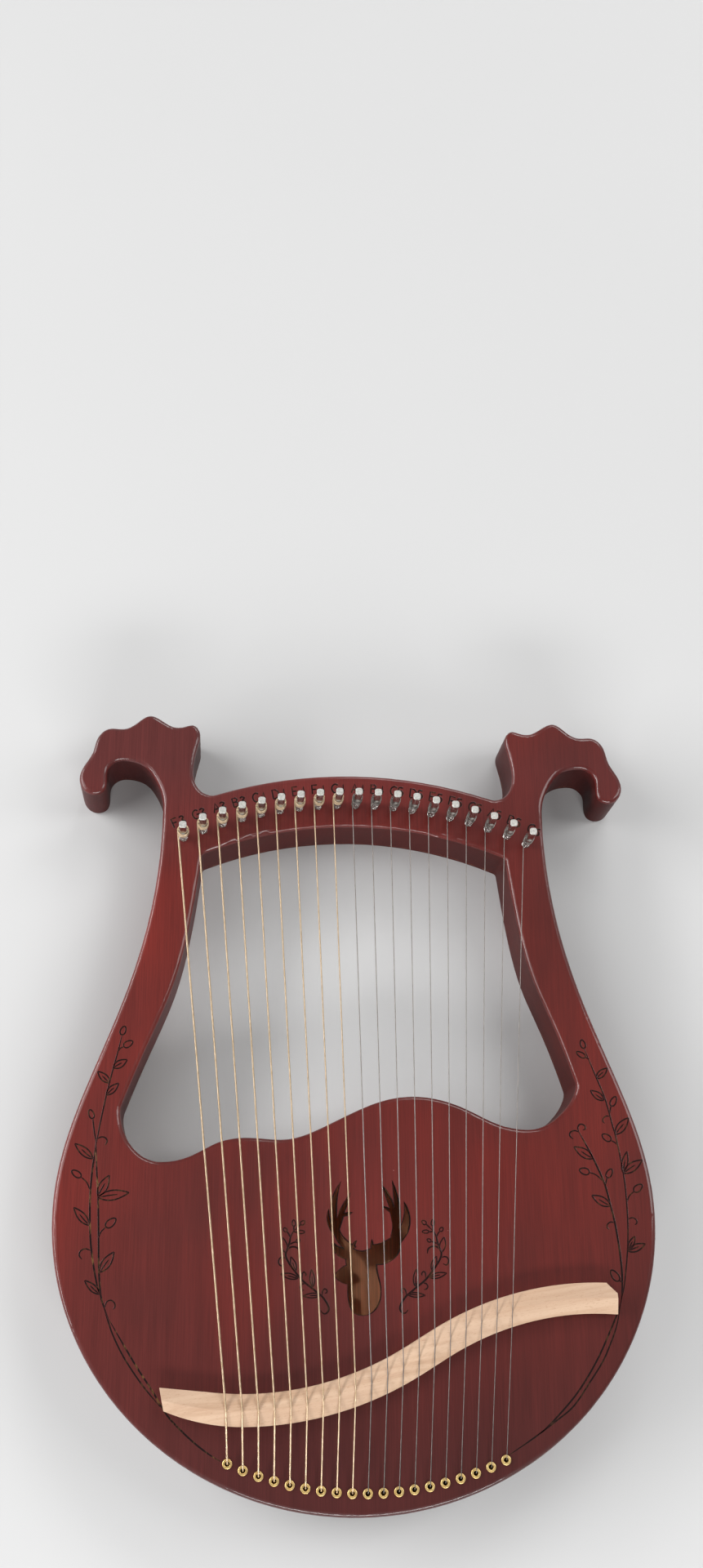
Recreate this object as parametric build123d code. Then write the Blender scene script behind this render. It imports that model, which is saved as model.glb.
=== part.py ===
from build123d import *
from build123d.topology import SkipClean
import math
import os

# Nineteen-string lyre harp, lying on its back.
# X runs across the strings towards the treble side, Y from the end block up to the
# scrolls, Z out of the soundboard.  Every Y below is measured from the lowest point of
# the body; export moves the whole harp so that its own centre is at X = Y = 0 and its
# back lies on Z = 0.  All sizes are millimetres.

# ---------------------------------------------------------------- overall outline
body_half_width = 174.0      # widest point of the body from the middle line
widest_y = 160.0             # height of that widest point above the end of the body
waist_half_width = 118.5     # outer line of an arm where it meets its scroll
waist_y = 401.0
arm_handle_low = 73.0        # how long the outer line stays upright at the body
arm_handle_high = 120.0      # and below the waist

# ---------------------------------------------------------------- layers
back_thickness = 4.0
core_thickness = 32.0
board_thickness = 4.0
edge_round = 2.6             # rounded edge of the soundboard
back_edge_round = 1.6        # rounded edge of the back

# ---------------------------------------------------------------- yoke
yoke_centre_y = 153.5        # the yoke's edges and its row of pins share this centre
yoke_inner_radius = 240.0
yoke_outer_radius = 273.4
pin_row_radius = 253.8
opening_half_width = 93.8    # upper corners of the opening
scroll_foot_x = 86.0         # where the scroll's inner line runs into the yoke
opening_corner_round = 3.0

# ---------------------------------------------------------------- inner lines of the arms
treble_lobe = (131.0, 236.0)     # lower end of the treble arm's inner line
treble_lobe_angle = 107.0
treble_lobe_handle = 70.0
bass_lobe = (-137.2, 222.0)      # lower end of the bass arm's inner line
bass_lobe_angle = 70.0
bass_lobe_handle = 72.0
lobe_side_handle = 8.0           # how quickly each lobe turns in at its side
bass_lobe_floor_handle = 20.0    # and how far it runs level along its floor
treble_lobe_floor_handle = 16.0
arm_top_angle = 97.0             # lean of both inner lines at the yoke
arm_top_handle = 94.0

# ---------------------------------------------------------------- frame joints
rim_width = 15.0             # glued width round the sound chamber
upper_rim_depth = 13.0
end_block_top_y = 44.0
arm_foot_y = 240.0
arm_head_y = 364.0
scroll_joint_y = 408.0
scroll_joint_x = 91.0
tenon_width = 10.0
tenon_thickness = 10.0
tenon_length = 13.0
tenon_clearance = 0.1
foot_tenon_x = 147.0
head_tenon_x = 108.0
scroll_tenon_x = 107.0

# ---------------------------------------------------------------- braces
brace_width = 8.0
brace_depth = 11.0
cross_brace_y = 86.0
back_brace_y = 96.0
tone_bar_width = 6.0
tone_bar_depth = 9.0
bass_bar_x = -54.0
treble_bar_x = 68.0
tone_bar_top_y = 182.0

# ---------------------------------------------------------------- tuning pins
string_count = 19
wound_count = 9
pin_diameter = 5.0
pin_first_x = -105.4
pin_pitch = 11.8
pin_standing = 27.0          # above the soundboard
pin_buried = 24.0            # below it
pin_clearance = 0.05
pin_hole_end_gap = 1.0
pin_flat_length = 12.0
pin_across_flats = 4.3
pin_end_chamfer = 0.45
pin_eye_diameter = 1.4
pin_eye_height = 16.0

# ---------------------------------------------------------------- strings
first_wound_diameter = 1.15
last_wound_diameter = 0.80
first_plain_diameter = 0.60
last_plain_diameter = 0.42
bass_string_height = 10.5    # above the soundboard, at the first pin
treble_string_height = 8.0   # at the last pin
coil_turns = 3
coil_gap = 0.05              # between a coil and its pin
coil_groove = 0.6            # depth of the groove between turns, share of a string's radius
coil_entry = 0.33            # how deep a string runs into its coil, share of the coil's radius

# ---------------------------------------------------------------- string anchors
eyelet_middle_x = 4.0
eyelet_middle_y = 12.3
eyelet_row_radius = 192.0
eyelet_pitch = 8.53
eyelet_flange_diameter = 5.4
eyelet_flange_thickness = 0.9
eyelet_barrel_diameter = 3.8
eyelet_bore = 2.7
eyelet_length = 8.0
eyelet_clearance = 0.05
eyelet_flange_round = 0.4
string_hole_diameter = 2.7
anchor_pocket_diameter = 6.2
anchor_pocket_depth = 10.0
ball_diameter = 4.4
ball_height = 3.6
ball_bore_clearance = 0.05
ball_waist = 0.5
anchor_bend_radius = 1.6
anchor_bend_height = 2.3     # where a string turns over, above the soundboard

# ---------------------------------------------------------------- bridge
bridge_low_x = -63.2         # lowest point of the bridge's S
bridge_low_y = 55.5
bridge_bass_radius = 187.3
bridge_slope = 30.3
bridge_straight = 15.7
bridge_treble_radius = 176.8
bridge_bass_end_x = -110.5
bridge_treble_end_x = 147.0
bridge_width = 16.8
bridge_height = 8.0
bridge_edge_height = 5.4
bridge_corner = 5.5          # cut-off corner at the treble end
bridge_bass_end_width = 12.0     # the bass end is narrower
bridge_bass_slant = 2.6          # and slanted
bridge_bass_drop = 2.3           # how far its top corner lies below the strip's own edge
bridge_bass_drop_length = 24.0
bridge_overrun = 6.0
bridge_first_x = -74.0
bridge_pitch = 8.9
bridge_break_radius = 15.0
notch_clearance = 0.03

# ---------------------------------------------------------------- soundhole
soundhole_x = 3.0            # middle of the stag's head
soundhole_y = 139.8          # its crown, between the antlers

tine_bend_share = 0.36       # width of an antler point at its bend, share of its root's width

board_bottom = back_thickness + core_thickness
board_top = board_bottom + board_thickness
reach_x = body_half_width + 10.0     # clear of the body at its sides
reach_y = waist_y + 100.0            # clear of the scrolls' tops
same_height = 0.01                   # corners this close in Y count as level

# A scroll's line, as steps from the waist: out and up round the curl, over the crest
# and down the inner side.
SCROLL_CURL = [
    (0.6, 9.0), (5.5, 21.5), (12.8, 30.2), (21.5, 33.2), (29.5, 32.6),
    (34.6, 27.5), (35.2, 19.5), (36.8, 13.0), (43.0, 10.6), (49.4, 14.0),
    (52.0, 21.5), (49.0, 30.5), (44.6, 38.5), (41.8, 48.4), (35.2, 54.4),
    (25.4, 54.6), (18.0, 58.6), (10.0, 63.6), (2.2, 60.6), (-5.8, 56.4),
    (-12.0, 56.9), (-17.6, 57.9), (-21.3, 54.0), (-20.8, 44.5), (-18.2, 31.5),
    (-18.9, 21.0), (-23.6, 13.9),
]

# The opening's wavy lower edge, level at both ends: the floor of the bass lobe and
# the floor of the treble lobe.
WAVE = [
    (-113.0, 189.6), (-97.0, 192.8), (-80.0, 201.0), (-61.0, 203.3), (-40.0, 202.6),
    (-20.0, 209.4), (0.0, 219.0), (20.0, 226.0), (44.0, 226.6), (66.0, 219.6),
    (84.0, 211.2), (101.5, 208.2),
]


# ================================================================ helpers
def along(angle):
    """Unit step in the plane, angle in degrees from +X."""
    return (math.cos(math.radians(angle)), math.sin(math.radians(angle)))


def step(point, angle, length):
    direction = along(angle)
    return (point[0] + direction[0] * length, point[1] + direction[1] * length)


def arc_y(radius, x):
    """Height of a circle about the yoke's centre at x."""
    return yoke_centre_y + math.sqrt(radius ** 2 - x ** 2)


def block(low, high):
    """Box between two corners."""
    size = [high[k] - low[k] for k in range(3)]
    middle = [(high[k] + low[k]) / 2 for k in range(3)]
    return Pos(*middle) * Box(*size)


def span(left, right, low, high):
    """Box over the whole thickness of the core, seen from the front."""
    return block((left, low, back_thickness), (right, high, board_bottom))


def post(x, y, radius, low, high):
    return Pos(x, y, (low + high) / 2) * Cylinder(radius, high - low)


def flat(face, low, high):
    """Plate of the given face between two heights."""
    return Pos(0, 0, low) * extrude(face, amount=high - low)


def pin_place(index):
    x = pin_first_x + pin_pitch * index
    return (x, arc_y(pin_row_radius, x))


def eyelet_place(index):
    offset = eyelet_pitch * (index - (string_count - 1) / 2)
    rise = eyelet_row_radius - math.sqrt(eyelet_row_radius ** 2 - offset ** 2)
    return (eyelet_middle_x + offset, eyelet_middle_y + rise)


def string_radius(index):
    if index < wound_count:
        share = index / (wound_count - 1)
        diameter = first_wound_diameter + (last_wound_diameter - first_wound_diameter) * share
    else:
        share = (index - wound_count) / (string_count - wound_count - 1)
        diameter = first_plain_diameter + (last_plain_diameter - first_plain_diameter) * share
    return diameter / 2


def string_height(index):
    share = index / (string_count - 1)
    rise = bass_string_height + (treble_string_height - bass_string_height) * share
    return board_top + rise


# ================================================================ outlines
def outer_half():
    """Treble half of the harp's outline, from the end of the body to the crown of the yoke."""
    widest = (body_half_width, widest_y)
    waist = (waist_half_width, waist_y)
    foot = (scroll_foot_x, arc_y(yoke_outer_radius, scroll_foot_x))
    along_yoke = (yoke_centre_y - foot[1], foot[0])
    curl = [waist] + [(waist[0] + dx, waist[1] + dy) for dx, dy in SCROLL_CURL] + [foot]
    crown = (0, yoke_centre_y + yoke_outer_radius)
    shoulder = (foot[0] / 2, arc_y(yoke_outer_radius, foot[0] / 2))
    return [
        EllipticalCenterArc((0, widest_y), body_half_width, widest_y, 270, arc_size=90),
        Bezier(widest, step(widest, 90, arm_handle_low), step(waist, -90, arm_handle_high), waist),
        Spline(*curl, tangents=[(0, 1), along_yoke], tangent_scalars=[1, 1]),
        ThreePointArc(foot, shoulder, crown),
    ]


def outline_face():
    half = outer_half()
    other = [mirror(edge, about=Plane.YZ) for edge in half]
    return make_face(Curve() + half + other)


def wave_line(drop=0.0):
    """Lower edge of the opening, moved down by drop."""
    points = [(x, y - drop) for x, y in WAVE]
    return Spline(*points, tangents=[(1, 0), (1, 0)], tangent_scalars=[1, 1])


def lobe_line(floor, direction, floor_handle, side, angle):
    """Rounded corner of the opening, from the wave's level end up to an arm."""
    floor_step = step(floor, direction, floor_handle)
    return Bezier(floor, floor_step, step(side, angle + 180, lobe_side_handle), side)


def arm_inner_line(lobe, angle, handle, corner, top_angle):
    return Bezier(lobe, step(lobe, angle, handle), step(corner, 180 + top_angle, arm_top_handle), corner)


def opening_face():
    corner_y = arc_y(yoke_inner_radius, opening_half_width)
    treble_corner = (opening_half_width, corner_y)
    bass_corner = (-opening_half_width, corner_y)
    crown = (0, yoke_centre_y + yoke_inner_radius)
    bass_top_angle = 180 - arm_top_angle
    edges = [
        lobe_line(WAVE[0], 180, bass_lobe_floor_handle, bass_lobe, bass_lobe_angle),
        wave_line(),
        lobe_line(WAVE[-1], 0, treble_lobe_floor_handle, treble_lobe, treble_lobe_angle),
        arm_inner_line(treble_lobe, treble_lobe_angle, treble_lobe_handle, treble_corner, arm_top_angle),
        ThreePointArc(treble_corner, crown, bass_corner),
        arm_inner_line(bass_lobe, bass_lobe_angle, bass_lobe_handle, bass_corner, bass_top_angle),
    ]
    face = make_face(Curve() + edges)
    corners = face.vertices().filter_by(lambda v: abs(v.Y - corner_y) < same_height)
    return fillet(corners, opening_corner_round)


def chamber_face():
    """Hollow inside the body: an ellipse inside the rim, below the upper rim, above the end block."""
    reach = 2 * body_half_width
    inner = Pos(0, widest_y) * Ellipse(body_half_width - rim_width, widest_y - rim_width)
    bass_corner = (WAVE[0][0], WAVE[0][1] - upper_rim_depth)
    treble_corner = (WAVE[-1][0], WAVE[-1][1] - upper_rim_depth)
    left = (-reach, bass_corner[1])
    right = (reach, treble_corner[1])
    top = [
        Line(left, bass_corner),
        wave_line(upper_rim_depth),
        Line(treble_corner, right),
        Line(right, (reach, reach)),
        Line((reach, reach), (-reach, reach)),
        Line((-reach, reach), left),
    ]
    below_block = Pos(0, end_block_top_y - reach / 2) * Rectangle(2 * reach, reach)
    return inner - make_face(Curve() + top) - below_block


# ================================================================ soundhole
def tine(root, bend, tip, width):
    """Antler point: a tapering crescent from root through bend to tip."""
    run = Vector(*tip) - Vector(*root)
    side = Vector(-run.Y, run.X).normalized()
    root_left = Vector(*root) + side * width / 2
    root_right = Vector(*root) - side * width / 2
    bend_left = Vector(*bend) + side * width * tine_bend_share
    bend_right = Vector(*bend) - side * width * tine_bend_share
    edges = [
        ThreePointArc(root_left, bend_left, Vector(*tip)),
        ThreePointArc(Vector(*tip), bend_right, root_right),
        Line(root_right, root_left),
    ]
    return make_face(Curve() + edges)


def stag_face():
    """Stag's head seen from the front, steps from its crown."""
    head = make_face(Curve() + [
        Spline((-8.0, 2.2), (-4.8, 0.6), (0.0, -0.3), (4.6, 1.2), (7.6, 2.6)),
        Spline((7.6, 2.6), (9.0, -2.0), (7.4, -7.6), (7.8, -12.6), (9.6, -20.0), (8.6, -28.0),
               (4.2, -33.6), (-0.6, -35.0), (-5.6, -33.4), (-8.7, -27.0), (-9.2, -18.2)),
        Spline((-9.2, -18.2), (-12.8, -17.0), (-16.0, -13.6), (-13.4, -10.0), (-9.6, -8.2)),
        Spline((-9.6, -8.2), (-10.0, -3.4), (-8.0, 2.2)),
    ])
    bass_ear = make_face(Curve() + [
        Spline((-6.0, 2.0), (-12.0, 1.4), (-17.6, 4.4)),
        Spline((-17.6, 4.4), (-16.6, -0.4), (-13.0, -3.2), (-8.0, -5.0)),
        Line((-8.0, -5.0), (-6.0, 2.0)),
    ])
    treble_ear = make_face(Curve() + [
        Spline((6.0, 2.6), (13.5, 3.2), (21.0, 4.4)),
        Spline((21.0, 4.4), (19.6, -1.6), (15.4, -5.6), (7.0, -7.2)),
        Line((7.0, -7.2), (6.0, 2.6)),
    ])
    tines = [
        ((-6.6, 1.0), (-14.2, 8.4), (-16.2, 20.0), 5.2),
        ((-15.2, 10.6), (-16.8, 26.5), (-12.8, 38.4), 3.8),
        ((-15.4, 12.0), (-11.8, 22.4), (-7.2, 32.0), 3.4),
        ((-12.6, 19.8), (-9.0, 20.4), (-6.2, 21.2), 1.5),
        ((-13.6, 8.4), (-19.2, 15.0), (-19.8, 23.2), 2.8),
        ((-6.4, -0.8), (-6.0, 2.4), (-4.0, 5.4), 1.8),
        ((8.0, 1.6), (24.2, 13.4), (23.6, 27.2), 6.4),
        ((17.6, 6.0), (19.6, 24.0), (16.8, 39.4), 4.2),
        ((19.0, 8.6), (16.0, 26.0), (11.2, 36.2), 3.6),
        ((17.4, 20.8), (14.0, 23.2), (10.8, 24.6), 1.6),
        ((5.6, -1.0), (5.0, 2.8), (4.8, 6.2), 1.7),
    ]
    stag = head + bass_ear + treble_ear
    for root, bend, tip, width in tines:
        stag += tine(root, bend, tip, width)
    # Wood left between two tines but joined to nothing would fall out, so only the rim counts.
    rim = stag.clean().faces().sort_by(SortBy.AREA)[-1].outer_wire()
    return Pos(soundhole_x, soundhole_y) * make_face(rim.edges())


# ================================================================ plates
def soundboard(shape, stag):
    plate = flat(shape, board_bottom, board_top)
    plate = fillet(plate.edges().group_by(Axis.Z)[-1], edge_round)
    plate -= flat(stag, board_bottom, board_top)
    for index in range(string_count):
        x, y = pin_place(index)
        plate -= post(x, y, pin_diameter / 2 + pin_clearance, board_bottom, board_top)
        x, y = eyelet_place(index)
        plate -= post(x, y, eyelet_barrel_diameter / 2 + eyelet_clearance, board_bottom, board_top)
    return plate


def back(shape):
    plate = flat(shape, 0, back_thickness)
    plate = fillet(plate.edges().group_by(Axis.Z)[0], back_edge_round)
    for index in range(string_count):
        x, y = eyelet_place(index)
        plate -= post(x, y, anchor_pocket_diameter / 2, 0, back_thickness)
    return plate


# ================================================================ frame
def tenon(x, y, grow=0.0):
    """Tongue across a glued joint, centred on the joint."""
    middle = back_thickness + core_thickness / 2
    shape = Box(tenon_width + 2 * grow, 2 * (tenon_length + grow), tenon_thickness + 2 * grow)
    return Pos(x, y, middle) * shape


def arm(core, side):
    region = span(-body_half_width, 0, arm_foot_y, arm_head_y)
    if side > 0:
        region = span(0, body_half_width, arm_foot_y, arm_head_y)
    piece = core & region
    foot = tenon(side * foot_tenon_x, arm_foot_y) & span(-reach_x, reach_x, 0, arm_foot_y)
    head = tenon(side * head_tenon_x, arm_head_y) & span(-reach_x, reach_x, arm_head_y, waist_y)
    return piece + foot + head


def scroll(core):
    """Treble scroll; the bass one is its mirror image."""
    foot = tenon(scroll_tenon_x, scroll_joint_y) & span(0, reach_x, 0, scroll_joint_y)
    return (core & span(scroll_joint_x, reach_x, scroll_joint_y, reach_y)) + foot


def wrest_plank(core):
    """The yoke: takes the pins, the arms' upper tenons and the scrolls' tenons."""
    plank = core & span(-reach_x, reach_x, arm_head_y, reach_y)
    plank -= span(scroll_joint_x, reach_x, scroll_joint_y, reach_y)
    plank -= span(-reach_x, -scroll_joint_x, scroll_joint_y, reach_y)
    for side in (-1, 1):
        plank -= tenon(side * head_tenon_x, arm_head_y, tenon_clearance)
        plank -= tenon(side * scroll_tenon_x, scroll_joint_y, tenon_clearance)
    floor = board_top - pin_buried - pin_hole_end_gap
    for index in range(string_count):
        x, y = pin_place(index)
        plank -= post(x, y, pin_diameter / 2 + pin_clearance, floor, board_bottom)
    return plank


def end_block_half_width():
    """Half the chamber's width at the top of the end block."""
    fall = (widest_y - end_block_top_y) / (widest_y - rim_width)
    return (body_half_width - rim_width) * math.sqrt(1 - fall ** 2)


def end_block(core):
    """Solid foot of the body: each string comes up through it from a pocket in the back."""
    half = end_block_half_width()
    piece = core & span(-half, half, 0, end_block_top_y)
    barrel_end = board_top - eyelet_length - eyelet_clearance
    for index in range(string_count):
        x, y = eyelet_place(index)
        piece -= post(x, y, string_hole_diameter / 2, back_thickness, board_bottom)
        barrel = eyelet_barrel_diameter / 2 + eyelet_clearance
        piece -= post(x, y, barrel, barrel_end, board_bottom)
        piece -= post(x, y, anchor_pocket_diameter / 2, back_thickness, anchor_pocket_depth)
    return piece


def upper_rim_span():
    return WAVE[0][0], WAVE[-1][0]


def upper_rim(core):
    left, right = upper_rim_span()
    return core & span(left, right, widest_y, arm_foot_y)


def side_rim(core, side):
    left, right = upper_rim_span()
    half = end_block_half_width()
    region = span(0, reach_x, 0, arm_foot_y)
    if side < 0:
        region = span(-reach_x, 0, 0, arm_foot_y)
    piece = core & region
    piece -= span(-half, half, 0, end_block_top_y)
    piece -= span(left, right, widest_y, arm_foot_y)
    return piece - tenon(side * foot_tenon_x, arm_foot_y, tenon_clearance)


# ================================================================ braces
def soundboard_brace(chamber):
    low = board_bottom - brace_depth
    return flat(chamber, low, board_bottom) & block(
        (-reach_x, cross_brace_y - brace_width / 2, low),
        (reach_x, cross_brace_y + brace_width / 2, board_bottom))


def tone_bar(x):
    low = board_bottom - tone_bar_depth
    return block(
        (x - tone_bar_width / 2, cross_brace_y + brace_width / 2, low),
        (x + tone_bar_width / 2, tone_bar_top_y, board_bottom))


def back_brace(chamber):
    high = back_thickness + brace_depth
    return flat(chamber, back_thickness, high) & block(
        (-reach_x, back_brace_y - brace_width / 2, back_thickness),
        (reach_x, back_brace_y + brace_width / 2, high))


# ================================================================ bridge
def bridge_turn():
    """X and Y where the bass curve ends, and where the treble curve starts."""
    slope = math.radians(bridge_slope)
    first = (bridge_low_x + bridge_bass_radius * math.sin(slope),
             bridge_low_y + bridge_bass_radius * (1 - math.cos(slope)))
    second = (first[0] + bridge_straight * math.cos(slope),
              first[1] + bridge_straight * math.sin(slope))
    return first, second


def ridge_y(x):
    """Height of the bridge's ridge line at x."""
    first, second = bridge_turn()
    slope = math.radians(bridge_slope)
    if x < first[0]:
        offset = x - bridge_low_x
        return bridge_low_y + bridge_bass_radius - math.sqrt(bridge_bass_radius ** 2 - offset ** 2)
    if x < second[0]:
        return first[1] + (x - first[0]) * math.tan(slope)
    centre_x = second[0] + bridge_treble_radius * math.sin(slope)
    centre_y = second[1] - bridge_treble_radius * math.cos(slope)
    return centre_y + math.sqrt(bridge_treble_radius ** 2 - (x - centre_x) ** 2)


def ridge_line():
    """The ridge seen from the front, run on past both ends of the bridge."""
    first, second = bridge_turn()
    bass_x = bridge_bass_end_x - bridge_overrun
    treble_x = bridge_treble_end_x + bridge_overrun
    middle_x = (second[0] + treble_x) / 2
    return Curve() + [
        ThreePointArc((bass_x, ridge_y(bass_x)), (bridge_low_x, bridge_low_y), first),
        Line(first, second),
        ThreePointArc(second, (middle_x, ridge_y(middle_x)), (treble_x, ridge_y(treble_x))),
    ]


def bridge_plan():
    """Plan that trims the strip: slanted bass end on a swept lower edge, cut-off treble corner."""
    half = bridge_width / 2
    bass_top = ridge_y(bridge_bass_end_x) + half - bridge_bass_drop
    bass_foot = bass_top - bridge_bass_end_width
    foot_x = bridge_bass_end_x + bridge_bass_slant
    drop_x = bridge_bass_end_x + bridge_bass_drop_length
    treble_top = ridge_y(bridge_treble_end_x) + half
    beyond = 2 * bridge_width
    low = (bridge_low_x, bridge_low_y - half)
    sweep_x = low[0] - foot_x
    sweep_y = bass_foot - low[1]
    radius = (sweep_x ** 2 + sweep_y ** 2) / (2 * sweep_y)
    middle_y = low[1] + radius - math.sqrt(radius ** 2 - sweep_x ** 2 / 4)
    return make_face(Curve() + [
        ThreePointArc((foot_x, bass_foot), (foot_x + sweep_x / 2, middle_y), low),
        Polyline(
            low,
            (bridge_low_x, bridge_low_y - beyond),
            (bridge_treble_end_x, bridge_low_y - beyond),
            (bridge_treble_end_x, treble_top - bridge_corner),
            (bridge_treble_end_x - bridge_corner, treble_top),
            (bridge_treble_end_x - bridge_corner, treble_top + beyond),
            (drop_x, treble_top + beyond),
            (drop_x, ridge_y(drop_x) + half),
            (bridge_bass_end_x, bass_top),
            (foot_x, bass_foot)),
    ])


def bridge():
    """S-shaped beech strip with a roof-shaped top; the strings cross its ridge in notches."""
    line = Pos(0, 0, board_top) * ridge_line()
    half = bridge_width / 2
    first_edge = line.edges().sort_by(Axis.X)[0]
    start = Plane(origin=first_edge @ 0, z_dir=first_edge % 0, x_dir=Vector(0, 0, 1))
    section = start * make_face(Polyline(
        (0, -half), (0, half), (bridge_edge_height, half), (bridge_height, 0),
        (bridge_edge_height, -half), (0, -half)))
    strip = sweep(section, path=Wire(line.edges()))
    strip &= flat(bridge_plan(), board_top, board_top + bridge_height)
    for index in range(string_count):
        strip -= string_run(index, string_radius(index) + notch_clearance)
    return strip


# ================================================================ strings
def coil_radius(index):
    """From the pin's axis to the middle of the string wound on it."""
    return pin_diameter / 2 + coil_gap + string_radius(index)


def string_points(index):
    """Corners of a string: ball end, turn over the eyelet, bridge, and where it meets its coil."""
    anchor_x, anchor_y = eyelet_place(index)
    ridge_x = bridge_first_x + bridge_pitch * index
    ridge = Vector(ridge_x, ridge_y(ridge_x), board_top + bridge_height)
    pin_x, pin_y = pin_place(index)
    centre = Vector(pin_x, pin_y, string_height(index))
    flat_run = Vector(centre.X - ridge.X, centre.Y - ridge.Y, 0)
    ahead = flat_run.normalized()
    left = Vector(-ahead.Y, ahead.X, 0)
    lean = coil_radius(index) / flat_run.length
    touch = centre - ahead * coil_radius(index) * lean
    touch += left * coil_radius(index) * math.sqrt(1 - lean ** 2)
    outer = coil_radius(index) + string_radius(index)
    end = touch - (touch - ridge).normalized() * outer * coil_entry
    start = Vector(anchor_x, anchor_y, anchor_pocket_depth - ball_height)
    turn = Vector(anchor_x, anchor_y, board_top + anchor_bend_height)
    return [start, turn, ridge, end]


def string_run(index, radius):
    points = string_points(index)
    path = FilletPolyline(*points, radius=[anchor_bend_radius, bridge_break_radius])
    section = Plane(origin=points[0], z_dir=Vector(0, 0, 1)) * Circle(radius)
    return sweep(section, path=path)


def string_coil(index):
    """Turns round the pin, as one sleeve with a groove between each two turns."""
    radius = string_radius(index)
    inner = pin_diameter / 2 + coil_gap
    outer = inner + 2 * radius
    base = -radius
    points = [(inner, base), (outer, base)]
    for turn in range(1, coil_turns):
        height = base + turn * 2 * radius
        points += [
            (outer, height - radius * coil_groove),
            (outer - radius * coil_groove, height),
            (outer, height + radius * coil_groove),
        ]
    top = base + coil_turns * 2 * radius
    points += [(outer, top), (inner, top), (inner, base)]
    face = make_face(Polyline(*[(x, 0, z) for x, z in points]))
    x, y = pin_place(index)
    return Pos(x, y, string_height(index)) * revolve(face, axis=Axis.Z)


def string(index):
    return string_run(index, string_radius(index)) + string_coil(index)


# ================================================================ metal parts
def tuning_pin(index):
    """Zither pin: round shank, eye for the string, four flats for the key."""
    x, y = pin_place(index)
    radius = pin_diameter / 2
    low = board_top - pin_buried
    high = board_top + pin_standing
    shank = post(0, 0, radius, low, high)
    shank = chamfer(shank.edges().filter_by(GeomType.CIRCLE), pin_end_chamfer)
    flats = Box(2 * pin_diameter, 2 * pin_diameter, pin_flat_length)
    flats -= Box(pin_across_flats, pin_across_flats, pin_flat_length)
    shank -= Pos(0, 0, high - pin_flat_length / 2) * flats
    eye = Rot(0, 90, 0) * Cylinder(pin_eye_diameter / 2, 2 * pin_diameter)
    shank -= Pos(0, 0, board_top + pin_eye_height) * eye
    return Pos(x, y, 0) * shank


def eyelet(index):
    x, y = eyelet_place(index)
    bore = eyelet_bore / 2
    barrel = eyelet_barrel_diameter / 2
    flange = eyelet_flange_diameter / 2
    low = board_top - eyelet_length
    high = board_top + eyelet_flange_thickness
    body = post(0, 0, flange, board_top, high) + post(0, 0, barrel, low, board_top)
    body -= post(0, 0, bore, low, high)
    rims = body.edges().filter_by(GeomType.CIRCLE).group_by(Axis.Z)[-1]
    return Pos(x, y, 0) * fillet(rims, eyelet_flange_round)


def ball_end(index):
    """Brass barrel that holds a string in its pocket."""
    x, y = eyelet_place(index)
    radius = ball_diameter / 2
    bore = string_radius(index) + ball_bore_clearance
    face = make_face(Curve() + [
        Line((bore, 0, 0), (radius, 0, 0)),
        ThreePointArc((radius, 0, 0), (radius - ball_waist, 0, ball_height / 2), (radius, 0, ball_height)),
        Line((radius, 0, ball_height), (bore, 0, ball_height)),
        Line((bore, 0, ball_height), (bore, 0, 0)),
    ])
    return Pos(x, y, anchor_pocket_depth - ball_height) * revolve(face, axis=Axis.Z)


# ================================================================ build and export
def build():
    shape = outline_face() - opening_face()
    chamber = chamber_face()
    core = flat(shape - chamber, back_thickness, board_bottom)
    stag = stag_face()
    parts = {
        "soundboard": soundboard(shape, stag),
        "back": back(shape),
        "wrest_plank": wrest_plank(core),
        "bass_arm": arm(core, -1),
        "treble_arm": arm(core, 1),
        "bass_scroll": mirror(scroll(core), about=Plane.YZ),
        "treble_scroll": scroll(core),
        "bass_rim": side_rim(core, -1),
        "treble_rim": side_rim(core, 1),
        "upper_rim": upper_rim(core),
        "end_block": end_block(core),
        "soundboard_brace": soundboard_brace(chamber),
        "bass_tone_bar": tone_bar(bass_bar_x),
        "treble_tone_bar": tone_bar(treble_bar_x),
        "back_brace": back_brace(chamber),
        "bridge": bridge(),
        "eyelets": Compound([eyelet(index) for index in range(string_count)]),
        "ball_ends": Compound([ball_end(index) for index in range(string_count)]),
    }
    for index in range(string_count):
        number = f"{index + 1:02d}"
        parts["tuning_pin_" + number] = tuning_pin(index)
        parts["string_" + number] = string(index)
    return parts


def main():
    os.makedirs("parts", exist_ok=True)
    # Neighbouring smooth edges stay separate, so that each keeps its own exact curve.
    with SkipClean():
        parts = build()
    box = parts["soundboard"].bounding_box()
    middle_y = (box.min.Y + box.max.Y) / 2
    for name, shape in parts.items():
        export_step(Pos(0, -middle_y, 0) * shape, f"parts/{name}.step")
    print("length", round(box.max.Y - box.min.Y, 3), "middle", round(middle_y, 3))


main()
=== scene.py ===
import math

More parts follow.
